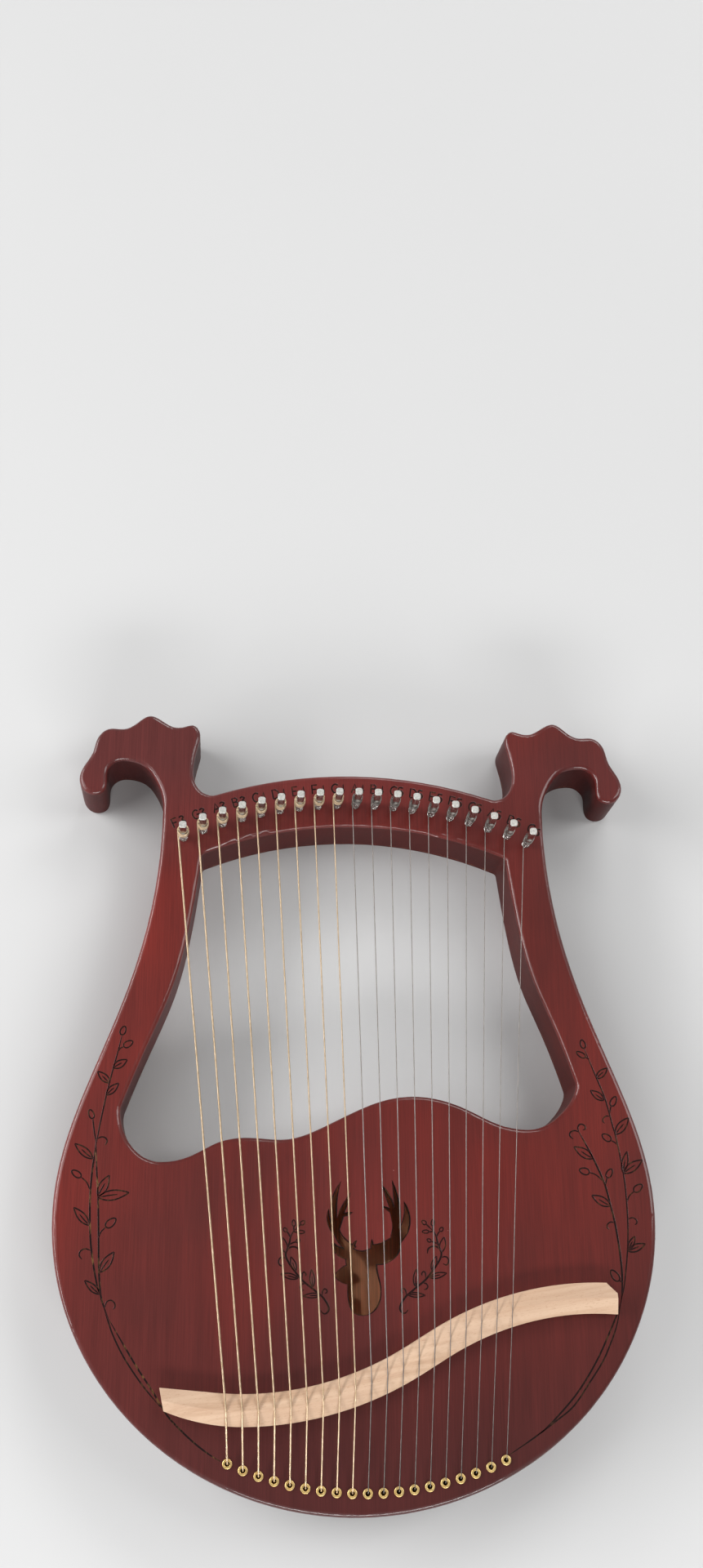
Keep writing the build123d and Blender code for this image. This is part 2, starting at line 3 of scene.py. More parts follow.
import bpy
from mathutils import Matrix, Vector


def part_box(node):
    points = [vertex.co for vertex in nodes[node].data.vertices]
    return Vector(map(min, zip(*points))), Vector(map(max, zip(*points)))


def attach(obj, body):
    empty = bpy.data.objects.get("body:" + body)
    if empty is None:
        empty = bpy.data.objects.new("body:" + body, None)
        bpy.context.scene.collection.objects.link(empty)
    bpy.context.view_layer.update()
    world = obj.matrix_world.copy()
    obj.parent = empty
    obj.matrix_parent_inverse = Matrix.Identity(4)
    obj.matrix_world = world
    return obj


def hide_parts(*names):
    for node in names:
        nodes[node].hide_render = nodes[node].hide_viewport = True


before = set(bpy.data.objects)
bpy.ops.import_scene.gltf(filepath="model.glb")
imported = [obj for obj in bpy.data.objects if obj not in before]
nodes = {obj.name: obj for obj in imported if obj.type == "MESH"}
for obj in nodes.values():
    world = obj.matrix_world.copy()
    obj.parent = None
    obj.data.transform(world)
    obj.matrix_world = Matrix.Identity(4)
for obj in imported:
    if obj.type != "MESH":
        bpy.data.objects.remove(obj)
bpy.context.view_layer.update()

# A 19-string lyre harp that lies on its back. Lengths are written in millimetres and
# made into metres by MM. X is across, Y runs from the body's round end to the scrolls
# (0 at the middle), Z is up. Y_END turns a height above the round end into Y.
MM = 0.001
Y_END = 232.311
BOARD_TOP = 40.0
BOARD_UNDER = 36.0
BACK_INSIDE = 4.0
STRINGS = 19
WOUND = 9
THREAD_PITCH, THREAD_HEIGHT = 0.55, 9.0      # a pin's fine thread, and how far up it shows
WINDING_PITCH = 0.28                         # bronze wire round a wound string


def box_mm(name):
    low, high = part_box(name)
    return low / MM, high / MM


# ---------------------------------------------------------------- node materials
class Finish:
    """One procedural material. Its points are the harp's own places, in metres."""

    def __init__(self, name):
        self.material = bpy.data.materials.new(name)
        self.material.use_nodes = True
        self.tree = self.material.node_tree
        self.surface = self.tree.nodes["Principled BSDF"]
        self.points = self.add("ShaderNodeTexCoord").outputs["Object"]

    def add(self, kind, **settings):
        node = self.tree.nodes.new(kind)
        for key, value in settings.items():
            setattr(node, key, value)
        return node

    def feed(self, socket, value):
        if isinstance(value, bpy.types.NodeSocket):
            self.tree.links.new(value, socket)
        else:
            socket.default_value = value

    def placed(self, scale, turn=(0, 0, 0), source=None):
        node = self.add("ShaderNodeMapping")
        self.feed(node.inputs["Vector"], source or self.points)
        node.inputs["Scale"].default_value = scale
        node.inputs["Rotation"].default_value = [math.radians(a) for a in turn]
        return node.outputs["Vector"]

    def noise(self, vector, detail=3.0, roughness=0.5, distortion=0.0):
        node = self.add("ShaderNodeTexNoise")
        self.feed(node.inputs["Vector"], vector)
        node.inputs["Scale"].default_value = 1.0
        node.inputs["Detail"].default_value = detail
        node.inputs["Roughness"].default_value = roughness
        node.inputs["Distortion"].default_value = distortion
        return node.outputs["Fac"]

    def specks(self, scale, size):
        """1 inside a few small round specks, 0 outside."""
        node = self.add("ShaderNodeTexVoronoi")
        self.feed(node.inputs["Vector"], self.points)
        node.inputs["Scale"].default_value = scale
        return self.math("LESS_THAN", node.outputs["Distance"], size)

    def math(self, operation, a, b=0.0):
        node = self.add("ShaderNodeMath", operation=operation)
        self.feed(node.inputs[0], a)
        self.feed(node.inputs[1], b)
        return node.outputs[0]

    def between(self, value, low, high, to_low=0.0, to_high=1.0):
        node = self.add("ShaderNodeMapRange")
        node.inputs["From Min"].default_value = low
        node.inputs["From Max"].default_value = high
        node.inputs["To Min"].default_value = to_low
        node.inputs["To Max"].default_value = to_high
        self.feed(node.inputs["Value"], value)
        return node.outputs["Result"]

    def mix(self, share, a, b, blend="MIX"):
        node = self.add("ShaderNodeMix", data_type="RGBA", blend_type=blend)
        self.feed(node.inputs["Factor"], share)
        self.feed(node.inputs["A"], a)
        self.feed(node.inputs["B"], b)
        return node.outputs["Result"]

    def axis(self, name, source=None):
        node = self.add("ShaderNodeSeparateXYZ")
        self.feed(node.inputs[0], source or self.points)
        return node.outputs[name]

    def bump(self, height, strength, distance_mm, under=None):
        node = self.add("ShaderNodeBump")
        self.feed(node.inputs["Height"], height)
        node.inputs["Strength"].default_value = strength
        node.inputs["Distance"].default_value = distance_mm * MM
        if under:
            self.feed(node.inputs["Normal"], under)
        return node.outputs["Normal"]

    def end(self, colour, roughness, normal=None, **sockets):
        self.feed(self.surface.inputs["Base Color"], colour)
        self.feed(self.surface.inputs["Roughness"], roughness)
        if normal:
            self.feed(self.surface.inputs["Normal"], normal)
        for key, value in sockets.items():
            self.surface.inputs[key.replace("_", " ")].default_value = value
        return self.material


def rgb(red, green, blue):
    return (red, green, blue, 1.0)


def lacquer(name, coat, specular, shade_factor=1.0):
    """Wine-red stain under semi-gloss lacquer: grain along the harp, cloudy patches, a few
    specks of dust, with painted shade and a painted sheen. The last argument darkens the whole colour as
    painted shade: less than 1 is darker."""
    f = Finish(name)
    patches = f.noise(f.placed((11, 7, 11)), detail=2.5, roughness=0.55)
    streaks = f.noise(f.placed((190, 5, 60)), detail=3.0, roughness=0.55)
    grain = f.noise(f.placed((1300, 26, 400)), detail=3.0, roughness=0.6)
    pores = f.noise(f.placed((2600, 90, 900)), detail=1.0)
    x, y = f.axis("X"), f.axis("Y")
    colour = f.mix(f.between(patches, 0.36, 0.66), rgb(0.104, 0.0160, 0.0135), rgb(0.184, 0.0170, 0.0115))
    # painted shade: the colour darkens towards the round end
    low_end_shade = f.between(y, -0.205, -0.035, 0.82, 0.0)
    colour = f.mix(low_end_shade, colour, rgb(0.064, 0.0150, 0.0140))
    # painted sheen: a paler, pinker band across the yoke, fading near its top
    yoke = f.math("MULTIPLY", f.between(y, 0.11, 0.20, 0.0, 0.50), f.between(y, 0.20, 0.225, 1.0, 0.2))
    colour = f.mix(yoke, colour, rgb(0.150, 0.0260, 0.0250))
    # painted shade: darker over the bass scroll
    bass_side = f.between(x, -0.09, -0.02, 1.0, 0.0)
    bass_scroll = f.math("MULTIPLY", f.between(y, 0.13, 0.20, 0.0, 0.85), bass_side)
    colour = f.mix(bass_scroll, colour, rgb(0.090, 0.0200, 0.0190))
    # painted shade: darker from the bass side towards the treble side, and the last argument darkens it all
    colour = f.mix(1.0, colour, f.between(x, -0.13, 0.17, 1.03 * shade_factor, 0.62 * shade_factor), "MULTIPLY")
    colour = f.mix(1.0, colour, f.between(streaks, 0.30, 0.70, 0.92, 1.08), "MULTIPLY")
    colour = f.mix(1.0, colour, f.between(grain, 0.30, 0.72, 0.80, 1.12), "MULTIPLY")
    colour = f.mix(f.between(pores, 0.66, 0.74, 0.0, 0.35), colour, rgb(0.030, 0.008, 0.008))
    dust = f.math("MULTIPLY", f.specks(34.0, 0.0085), 0.42)
    colour = f.mix(dust, colour, rgb(0.50, 0.30, 0.26))
    roughness = f.between(patches, 0.3, 0.7, 0.36, 0.44)
    normal = f.bump(grain, 0.16, 0.05)
    normal = f.bump(f.noise(f.placed((90, 40, 60)), detail=1.0), 0.04, 0.12, normal)
    return f.end(colour, roughness, normal, Coat_Weight=coat, Coat_Roughness=0.07,
                 Specular_IOR_Level=specular)


def bare_wood():
    """Raw brown wood inside the body."""
    f = Finish("bare_wood")
    rings = f.noise(f.placed((150, 4, 150)), detail=3.0, distortion=0.4)
    grain = f.noise(f.placed((1100, 20, 1100)), detail=3.0, roughness=0.65)
    colour = f.mix(f.between(rings, 0.32, 0.68), rgb(0.600, 0.240, 0.115), rgb(0.900, 0.385, 0.195))
    colour = f.mix(1.0, colour, f.between(grain, 0.3, 0.7, 0.70, 1.12), "MULTIPLY")
    return f.end(colour, f.between(grain, 0.3, 0.7, 0.62, 0.8), f.bump(grain, 0.35, 0.12))


def burnt_wood(name, browning):
    """Wood scorched by engraving: near black, brown where the burn is thin."""
    f = Finish(name)
    thin = f.noise(f.placed((420, 160, 420)), detail=2.0, roughness=0.6)
    char = f.noise(f.placed((3000, 3000, 3000)), detail=2.0)
    browned = f.between(thin, 0.52, 0.70, 0.0, browning)
    colour = f.mix(browned, rgb(0.0085, 0.0040, 0.0036), rgb(0.120, 0.060, 0.022))
    colour = f.mix(1.0, colour, f.between(char, 0.3, 0.7, 0.6, 1.4), "MULTIPLY")
    return f.end(colour, f.between(char, 0.3, 0.7, 0.75, 0.95), f.bump(char, 0.3, 0.03),
                 Specular_IOR_Level=0.12)


def beech():
    """Sanded beech: soft growth lines along the strip, short dark flecks, a few warm streaks."""
    f = Finish("beech")
    along = f.placed((1, 1, 1), turn=(0, 0, -9))
    lines = f.noise(f.placed((6, 260, 260), source=along), detail=3.0, roughness=0.6, distortion=0.25)
    flecks = f.noise(f.placed((420, 2300, 1600), source=along), detail=1.5, roughness=0.6)
    warm = f.noise(f.placed((26, 120, 120), source=along), detail=2.0)
    clouds = f.noise(f.placed((22, 40, 40)), detail=2.0)
    colour = f.mix(f.between(lines, 0.36, 0.62), rgb(0.49, 0.310, 0.198), rgb(0.61, 0.425, 0.292))
    colour = f.mix(f.between(clouds, 0.35, 0.7, 0.0, 0.5), colour, rgb(0.54, 0.375, 0.268))
    colour = f.mix(f.between(warm, 0.66, 0.80, 0.0, 0.6), colour, rgb(0.54, 0.27, 0.13))
    colour = f.mix(f.between(flecks, 0.60, 0.72, 0.0, 0.45), colour, rgb(0.36, 0.20, 0.115))
    normal = f.bump(lines, 0.12, 0.08)
    normal = f.bump(flecks, 0.16, 0.04, normal)
    return f.end(colour, f.between(flecks, 0.3, 0.7, 0.5, 0.64), normal, Specular_IOR_Level=0.35)


def nickel():
    """Nickel-plated steel: fine scratches, and fine thread where the pin enters the board."""
    f = Finish("nickel")
    scratches = f.noise(f.placed((2200, 2200, 500)), detail=2.0)
    stains = f.noise(f.placed((520, 520, 520)), detail=2.0)
    z = f.axis("Z")
    ridges = f.math("SINE", f.math("MULTIPLY", z, 2 * math.pi / (THREAD_PITCH * MM)))
    threaded = f.math("LESS_THAN", z, (BOARD_TOP + THREAD_HEIGHT) * MM)
    height = f.math("MULTIPLY", ridges, threaded)
    colour = f.mix(f.between(stains, 0.40, 0.70), rgb(0.74, 0.72, 0.69), rgb(0.52, 0.50, 0.47))
    normal = f.bump(height, 1.0, 0.20)
    normal = f.bump(scratches, 0.10, 0.03, normal)
    return f.end(colour, f.between(scratches, 0.3, 0.7, 0.12, 0.27), normal, Metallic=1.0)


def nickel_end():
    """The pin's cut end: nickel over turning marks, less polished than the shank."""
    f = Finish("nickel_end")
    marks = f.noise(f.placed((900, 900, 900)), detail=3.0, roughness=0.6)
    facets = f.noise(f.placed((380, 380, 380)), detail=0.0)
    colour = f.mix(f.between(marks, 0.35, 0.7), rgb(0.68, 0.67, 0.63), rgb(0.42, 0.41, 0.38))
    normal = f.bump(marks, 0.2, 0.05, f.bump(facets, 0.8, 0.35))
    return f.end(colour, f.between(marks, 0.3, 0.7, 0.36, 0.52), normal, Metallic=0.45)


def brass():
    """Polished brass with darker handling marks."""
    f = Finish("brass")
    marks = f.noise(f.placed((700, 700, 700)), detail=3.0)
    colour = f.mix(f.between(marks, 0.38, 0.66), rgb(0.94, 0.70, 0.30), rgb(0.74, 0.49, 0.17))
    return f.end(colour, f.between(marks, 0.3, 0.7, 0.26, 0.42), f.bump(marks, 0.12, 0.04), Metallic=0.7)


def wire(name, bright, dull, wound):
    """String metal. UV.x runs along the string in millimetres, so the winding has its real pitch."""
    f = Finish(name)
    uv = f.add("ShaderNodeUVMap").outputs["UV"]
    tone = f.noise(f.placed((0.35, 3.0, 1.0), source=uv), detail=2.0)
    colour = f.mix(f.between(tone, 0.35, 0.7), bright, dull)
    if wound:
        turns = f.math("SINE", f.math("MULTIPLY", f.axis("X", uv), 2 * math.pi / WINDING_PITCH))
        colour = f.mix(f.between(turns, -1.0, -0.4, 0.45, 0.0), colour, rgb(0.30, 0.16, 0.05))
        return f.end(colour, 0.34, f.bump(turns, 0.45, 0.05), Metallic=1.0)
    drawn = f.noise(f.placed((1.5, 30.0, 1.0), source=uv), detail=2.0)
    return f.end(colour, f.between(drawn, 0.3, 0.7, 0.34, 0.46), f.bump(drawn, 0.1, 0.01), Metallic=1.0)


def studio_floor():
    """Pale matt floor, very slightly uneven."""
    f = Finish("pale_floor")
    tone = f.noise(f.placed((3, 3, 3)), detail=2.0)
    return f.end(f.mix(tone, rgb(0.56, 0.56, 0.56), rgb(0.58, 0.58, 0.58)), 0.85)


LACQUER = lacquer("wine_lacquer", 0.60, 0.24)
WALL = lacquer("wine_lacquer_wall_shaded", 0.03, 0.06, shade_factor=0.55)      # painted shade: a darker copy for the upright walls, with a thinner coat
BARE = bare_wood()
BURNT = burnt_wood("burnt_line", 0.30)
THIN_BURN = burnt_wood("thin_burn", 1.0)
# painted shade: near-black finish for the soundhole's cut walls
SOUNDHOLE_SHADE = burnt_wood("soundhole_wall_shade", 0.9)
BEECH = beech()
NICKEL = nickel()
NICKEL_END = nickel_end()
BRASS = brass()
BRONZE = wire("bronze_winding", rgb(0.70, 0.56, 0.40), rgb(0.50, 0.37, 0.23), True)
STEEL = wire("plain_steel", rgb(0.26, 0.235, 0.22), rgb(0.17, 0.155, 0.145), False)


# ---------------------------------------------------------------- finishes of the CAD nodes
def paint(name, *materials, choose=None):
    """Gives a CAD node its materials. choose(centre in mm, normal) picks one for each face."""
    mesh = nodes[name].data
    mesh.materials.clear()
    for material in materials:
        mesh.materials.append(material)
    for face in mesh.polygons:
        face.material_index = choose(face.center / MM, face.normal) if choose else 0


STAG_LOW, STAG_HIGH = (-32, 100), (38, 192)     # window round the stag-shaped soundhole


def near_stag(x, y):
    return STAG_LOW[0] < x < STAG_HIGH[0] and STAG_LOW[1] < y + Y_END < STAG_HIGH[1]


# Limits on a face's unit normal: an upright wall's z is under WALL_LEAN, a steep or rounded edge's
# under EDGE_LEAN, a flat face's over FLAT. INWARDS and FACING are shares towards a direction.
WALL_LEAN, EDGE_LEAN, FLAT = 0.12, 0.6, 0.7
INWARDS, FACING = 0.35, 0.5
# An oval over the sound chamber, and the share of it that counts as inside.
CAVITY_MIDDLE, CAVITY_HALF_WIDTH, CAVITY_HALF_LENGTH = 160, 174, 160
CAVITY_SHARE = 0.93
WAVE_LOW, STAG_MIDDLE_X, ANTLER_REACH = 182, 3, 20


def wall_face(centre, normal):
    """1 on upright faces."""
    return 1 if abs(normal.z) < WALL_LEAN else 0


def board_face(centre, normal):
    """0 lacquer, 1 upright edge, 2 bare underside, 3 painted shade on the soundhole's cut edge."""
    inside = math.hypot(centre.x / CAVITY_HALF_WIDTH,
                        (centre.y + Y_END - CAVITY_MIDDLE) / CAVITY_HALF_LENGTH) < CAVITY_SHARE
    if normal.z < -FLAT:
        return 2 if inside and centre.z < BOARD_UNDER + 1 else 0
    if abs(normal.z) < EDGE_LEAN and near_stag(centre.x, centre.y) and not at_wave(centre):
        return 3
    return wall_face(centre, normal)


def at_wave(centre):
    """Whether a place is on the opening's lower edge, which passes above the stag."""
    return centre.y + Y_END > WAVE_LOW and abs(centre.x - STAG_MIDDLE_X) > ANTLER_REACH


def back_face(centre, normal):
    """0 lacquer, 1 upright edge, 2 bare inside."""
    if normal.z > FLAT and centre.z > BACK_INSIDE - 0.5:
        return 2
    return wall_face(centre, normal)


BODY_MIDDLE = Vector((0, 130 - Y_END, 0))
CHAMBER_TOP = {-1: 176, 1: 193}       # where the chamber ends under the bass and treble lobes


def inner_wall(centre, normal):
    """0 lacquer, 1 upright outside, 2 bare walls that face the middle of the sound chamber."""
    inwards = BODY_MIDDLE - centre
    inwards.z = 0
    inside = centre.y + Y_END < CHAMBER_TOP[1 if centre.x > 0 else -1]
    return 2 if inside and normal.dot(inwards.normalized()) > INWARDS else wall_face(centre, normal)


def under_opening(centre, normal):
    """2 on the upper rim's wall inside the chamber, 1 on the one in the opening."""
    return 2 if normal.y < -FACING else wall_face(centre, normal)


paint("soundboard", LACQUER, WALL, BARE, SOUNDHOLE_SHADE, choose=board_face)
paint("back", LACQUER, WALL, BARE, choose=back_face)
for name in ("wrest_plank", "bass_arm", "treble_arm", "bass_scroll", "treble_scroll"):
    paint(name, LACQUER, WALL, choose=wall_face)
for name in ("bass_rim", "treble_rim", "end_block"):
    paint(name, LACQUER, WALL, BARE, choose=inner_wall)
paint("upper_rim", LACQUER, WALL, BARE, choose=under_opening)
for name in ("soundboard_brace", "bass_tone_bar", "treble_tone_bar", "back_brace"):
    paint(name, BARE)
paint("bridge", BEECH)
paint("eyelets", BRASS)
paint("ball_ends", BRASS)
for index in range(STRINGS):
    paint(f"tuning_pin_{index + 1:02d}", NICKEL, NICKEL_END,
          choose=lambda centre, normal: int(normal.z > FACING))


# ---------------------------------------------------------------- building pieces
class Build:
    """Vertices and faces of one piece in millimetres, added bit by bit."""

    def __init__(self):
        self.vertices, self.faces, self.slots, self.uvs = [], [], [], []

    def quad(self, a, b, c, d, slot=0, uv=None):
        self.faces.append((a, b, c, d))
        self.slots.append(slot)
        self.uvs += uv or [(0, 0)] * 4

    def piece(self, name, *materials, smooth=True):
        mesh = bpy.data.meshes.new(name)
        mesh.from_pydata([Vector(v) * MM for v in self.vertices], [], self.faces)
        for material in materials:
            mesh.materials.append(material)
        mesh.polygons.foreach_set("material_index", self.slots)
        layer = mesh.uv_layers.new(name="UVMap")
        for loop, uv in zip(layer.data, self.uvs):
            loop.uv = uv
        if smooth:
            mesh.shade_smooth()
        mesh.update()
        piece = bpy.data.objects.new(name, mesh)
        bpy.context.scene.collection.objects.link(piece)
        return piece


WIRE_SIDES = 12
CAP_LENGTH, CAP_WIDTH = 0.5, 0.55        # a wire's rounded end, as shares of its radius


def tube(build, path, radius):
    """Round wire along a path, with rounded-off closed ends; UV.x is the length along it."""
    path = [Vector(p) for p in path]
    sides = WIRE_SIDES
    first = len(build.vertices)
    side = None
    run = 0.0
    rings = []
    for i, point in enumerate(path):
        ahead = (path[min(i + 1, len(path) - 1)] - path[max(i - 1, 0)]).normalized()
        if side is None:
            side = ahead.orthogonal().normalized()
        side = (side - ahead * side.dot(ahead)).normalized()
        up = ahead.cross(side)
        if i:
            run += (point - path[i - 1]).length
        rings.append((point, side.copy(), up, radius, run))
    cap_out, cap_radius = radius * CAP_LENGTH, radius * CAP_WIDTH
    start, start_side, start_up, _, _ = rings[0]
    end, end_side, end_up, _, _ = rings[-1]
    start = start - (path[1] - path[0]).normalized() * cap_out
    end = end + (path[-1] - path[-2]).normalized() * cap_out
    rings.insert(0, (start, start_side, start_up, cap_radius, 0.0))
    rings.append((end, end_side, end_up, cap_radius, run))
    lengths = [ring[-1] for ring in rings]
    for point, side, up, size, _ in rings:
        for k in range(sides):
            angle = 2 * math.pi * k / sides
            build.vertices.append(point + (side * math.cos(angle) + up * math.sin(angle)) * size)
    for i in range(len(rings) - 1):
        for k in range(sides):
            a = first + i * sides + k
            b = first + i * sides + (k + 1) % sides
            u, v, w, t = lengths[i], lengths[i + 1], k / sides, (k + 1) / sides
            build.quad(a, b, b + sides, a + sides, 0, [(u, w), (u, t), (v, t), (v, w)])
    for offset, point, flip in ((0, rings[0][0], True), ((len(rings) - 1) * sides, rings[-1][0], False)):
        build.vertices.append(point)
        middle = len(build.vertices) - 1
        for k in range(sides):
            a = first + offset + k
            b = first + offset + (k + 1) % sides
            build.faces.append((b, a, middle) if flip else (a, b, middle))
            build.slots.append(0)
            build.uvs += [(0, 0)] * 3


def rounded(points, radii, steps=6):
    """The points joined by straight runs, each inner corner turned to an arc."""
    points = [Vector(p) for p in points]
    path = [points[0]]
    for before, corner, after, radius in zip(points, points[1:], points[2:], radii):
        back_dir = (before - corner).normalized()
        ahead_dir = (after - corner).normalized()
        half = back_dir.angle(ahead_dir) / 2
        reach = radius / math.tan(half)
        centre = corner + (back_dir + ahead_dir).normalized() * radius / math.sin(half)
        start = (corner + back_dir * reach - centre).normalized()
        end = (corner + ahead_dir * reach - centre).normalized()
        for i in range(steps + 1):
            path.append(centre + start.slerp(end, i / steps) * radius)
    path.append(points[-1])
    return path


# ---------------------------------------------------------------- strings
WOUND_DIAMETERS = (1.15, 0.80)
PLAIN_DIAMETERS = (0.60, 0.42)
STRING_HEIGHTS = (10.5, 8.0)
EYELET_MIDDLE_X, EYELET_MIDDLE_Y, EYELET_RADIUS, EYELET_PITCH = 4.0, 12.3, 192.0, 8.53
BRIDGE_FIRST_X, BRIDGE_PITCH, BRIDGE_HEIGHT = -74.0, 8.9, 8.0
BREAK_RADIUS = 15.0
TURN_HEIGHT, TURN_RADIUS = 2.3, 1.6
BALL_FOOT = 6.4                 # height of the string's lower end, at the foot of its ball end
PIN_RADIUS, COIL_GAP = 2.5, 0.06
EYE_HEIGHT = 16.0
TURN_STEPS = 30                 # points in one turn round a pin
TURN_PITCH = 2.06               # between neighbouring turns, in wire radii
TAIL_RADIUS = 0.45              # no tail is thicker, so that it passes through the eye
TAIL_IN = 0.8                   # where the tail enters the eye, a share of the pin's radius
TAIL_OUT = 0.9                  # how far its end pokes out


def share_of(pair, index, count):
    return pair[0] + (pair[1] - pair[0]) * index / (count - 1)


def string_radius(index):
    if index < WOUND:
        return share_of(WOUND_DIAMETERS, index, WOUND) / 2
    return share_of(PLAIN_DIAMETERS, index - WOUND, STRINGS - WOUND) / 2


def ridge_y(x):
    """The bridge's ridge: a bass arc, a straight slope and a treble arc."""
    low_x, low_y, bass, slope, straight, treble = -63.2, 55.5, 187.3, math.radians(30.3), 15.7, 176.8
    first = (low_x + bass * math.sin(slope), low_y + bass * (1 - math.cos(slope)))
    second = (first[0] + straight * math.cos(slope), first[1] + straight * math.sin(slope))
    if x < first[0]:
        return low_y + bass - math.sqrt(bass ** 2 - (x - low_x) ** 2)
    if x < second[0]:
        return first[1] + (x - first[0]) * math.tan(slope)
    centre = (second[0] + treble * math.sin(slope), second[1] - treble * math.cos(slope))
    return centre[1] + math.sqrt(treble ** 2 - (x - centre[0]) ** 2)


def eyelet_place(index):
    offset = (index - (STRINGS - 1) / 2) * EYELET_PITCH
    x = EYELET_MIDDLE_X + offset
    y = EYELET_MIDDLE_Y + EYELET_RADIUS - math.sqrt(EYELET_RADIUS ** 2 - offset ** 2)
    return x, y - Y_END


def pin_centre(index):
    low, high = box_mm(f"tuning_pin_{index + 1:02d}")
    return (low.x + high.x) / 2, (low.y + high.y) / 2


def string_pieces(index):
    """The fixed run with its first turns, and the last turns and tail that turn with the pin."""
    radius = string_radius(index)
    metal = BRONZE if index < WOUND else STEEL
    coil = PIN_RADIUS + COIL_GAP + radius
    x, y = eyelet_place(index)
    ridge_x = BRIDGE_FIRST_X + BRIDGE_PITCH * index
    ridge = Vector((ridge_x, ridge_y(ridge_x) - Y_END, BOARD_TOP + BRIDGE_HEIGHT))
    centre = Vector((*pin_centre(index), BOARD_TOP + share_of(STRING_HEIGHTS, index, STRINGS)))
    flat_run = Vector((centre.x - ridge.x, centre.y - ridge.y, 0))
    ahead = flat_run.normalized()
    left = Vector((-ahead.y, ahead.x, 0))
    lean = coil / flat_run.length
    touch = centre - ahead * coil * lean + left * coil * math.sqrt(1 - lean ** 2)
    path = rounded([(x, y, BALL_FOOT), (x, y, BOARD_TOP + TURN_HEIGHT), ridge, touch],
                   [TURN_RADIUS, BREAK_RADIUS])
    pitch = TURN_PITCH * radius
    start = math.atan2(touch.y - centre.y, touch.x - centre.x)

    def on_coil(turn, height):
        angle = start - 2 * math.pi * turn
        return Vector((centre.x + coil * math.cos(angle), centre.y + coil * math.sin(angle),
                       centre.z + height))

    for i in range(1, 2 * TURN_STEPS + 1):
        turn = i / TURN_STEPS
        path.append(on_coil(turn, pitch * min(turn, 1.0)))
    run = Build()
    tube(run, path, radius)
    piece = run.piece(f"string_run_{index + 1:02d}", metal)
    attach(piece, "frame")
    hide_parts(f"string_{index + 1:02d}")

    # The eye lies across the instrument; the tail enters it on the right and pokes out on the left.
    rise = BOARD_TOP + EYE_HEIGHT - centre.z - 2 * pitch
    last_turn = 2 + (start / (2 * math.pi)) % 1
    turns = last_turn if index < WOUND else last_turn + 1
    path = []
    count = int(TURN_STEPS * turns)
    for i in range(count + 1):
        turn = i / count * turns
        share = max(0.0, (turn - 1) / (turns - 1))
        ease = share * share * (3 - 2 * share)
        path.append(on_coil(turn, 2 * pitch + rise * ease))
    path.append(Vector((centre.x + PIN_RADIUS * TAIL_IN, centre.y, BOARD_TOP + EYE_HEIGHT)))
    path.append(Vector((centre.x - PIN_RADIUS - TAIL_OUT, centre.y, BOARD_TOP + EYE_HEIGHT)))
    tail = Build()
    tube(tail, path, min(radius, TAIL_RADIUS))
    wound = tail.piece(f"string_tail_{index + 1:02d}", metal)
    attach(wound, f"pin_{index + 1:02d}")


for index in range(STRINGS):
    string_pieces(index)


# ---------------------------------------------------------------- engraving on the soundboard
GROOVE_LIFT = 0.010       # the burnt line lies on the lacquer, between two low lips
LIP_LIFT = 0.030
LIP_WIDTH = 0.10
BURNT_SHARE = 0.7         # of a line's half width, up to the foot of its lips
TAPER_END, TAPER_RISE = 0.45, 3.2        # a tapered line's width at its end, and how fast it fills out
SOUNDHOLE_SHADE_WIDTH = 0.42         # about the width of the painted shade line round the soundhole


def smooth_line(points, steps=8):
    """A curve through the points (Catmull-Rom)."""
    points = [Vector(p) for p in points]
    points = [points[0] * 2 - points[1]] + points + [points[-1] * 2 - points[-2]]
    line = []
    for a, b, c, d in zip(points, points[1:], points[2:], points[3:]):
        for i in range(steps):
            t = i / steps
            line.append(0.5 * ((2 * b) + (c - a) * t + (2 * a - 5 * b + 4 * c - d) * t ** 2
                               + (3 * b - a - 3 * c + d) * t ** 3))
    line.append(points[-2])
    return line


def groove(build, line, width, taper=True, core=0):
    """An engraved line: burnt strip with a low lip on each side. core picks the strip's material:
    0 burnt, 2 thinly burnt."""
    count = len(line)
    first = len(build.vertices)
    for i, point in enumerate(line):
        ahead = (line[min(i + 1, count - 1)] - line[max(i - 1, 0)]).normalized()
        across = Vector((-ahead.y, ahead.x))
        ends = min(i, count - 1 - i) / (count - 1)
        half = width / 2 * (min(1.0, TAPER_END + TAPER_RISE * ends) if taper else 1.0)
        foot = half * BURNT_SHARE
        for offset, lift in ((-half - LIP_WIDTH, 0.0), (-half, LIP_LIFT), (-foot, GROOVE_LIFT),
                             (foot, GROOVE_LIFT), (half, LIP_LIFT), (half + LIP_WIDTH, 0.0)):
            place = point + across * offset
            build.vertices.append((place.x, place.y - Y_END, BOARD_TOP + lift))
    for i in range(count - 1):
        for k in range(5):
            a = first + i * 6 + k
            build.quad(a, a + 1, a + 7, a + 6, 1 if k in (0, 4) else core)


def stalk(build, width, *points, core=0):
    groove(build, smooth_line(points), width, core=core)


def frame_of(base, tip):
    """The base, the way to the tip, and the unit vector across it."""
    base, tip = Vector(base), Vector(tip)
    along = tip - base
    return base, along, Vector((-along.y, along.x)).normalized()


def leaf(build, base, tip, breadth, vein=0.62, width=0.84):
    """Pointed leaf outline with a midrib."""
    base, along, across = frame_of(base, tip)
    for side in (-1, 1):
        line = []
        for i in range(15):
            t = i / 14
            swell = math.sin(math.pi * t ** 0.85) ** 0.9
            line.append(base + along * t + across * side * breadth / 2 * swell)
        groove(build, line, width, taper=False)
    if vein:
        stalk(build, width * 0.9, base + along * 0.08, base + along * vein / 2 + across * breadth * 0.03,
              base + along * vein)


def bud(build, base, tip, breadth, width=0.82):
    """Closed bud: round at its stalk, slightly pointed at its tip."""
    base, along, across = frame_of(base, tip)
    line = []
    for i in range(25):
        angle = 2 * math.pi * i / 24
        t = (1 - math.cos(angle)) / 2
        bulge = math.sin(angle) * (1.12 - 0.35 * t)
        line.append(base + along * t + across * breadth / 2 * bulge)
    groove(build, line, width, taper=False)


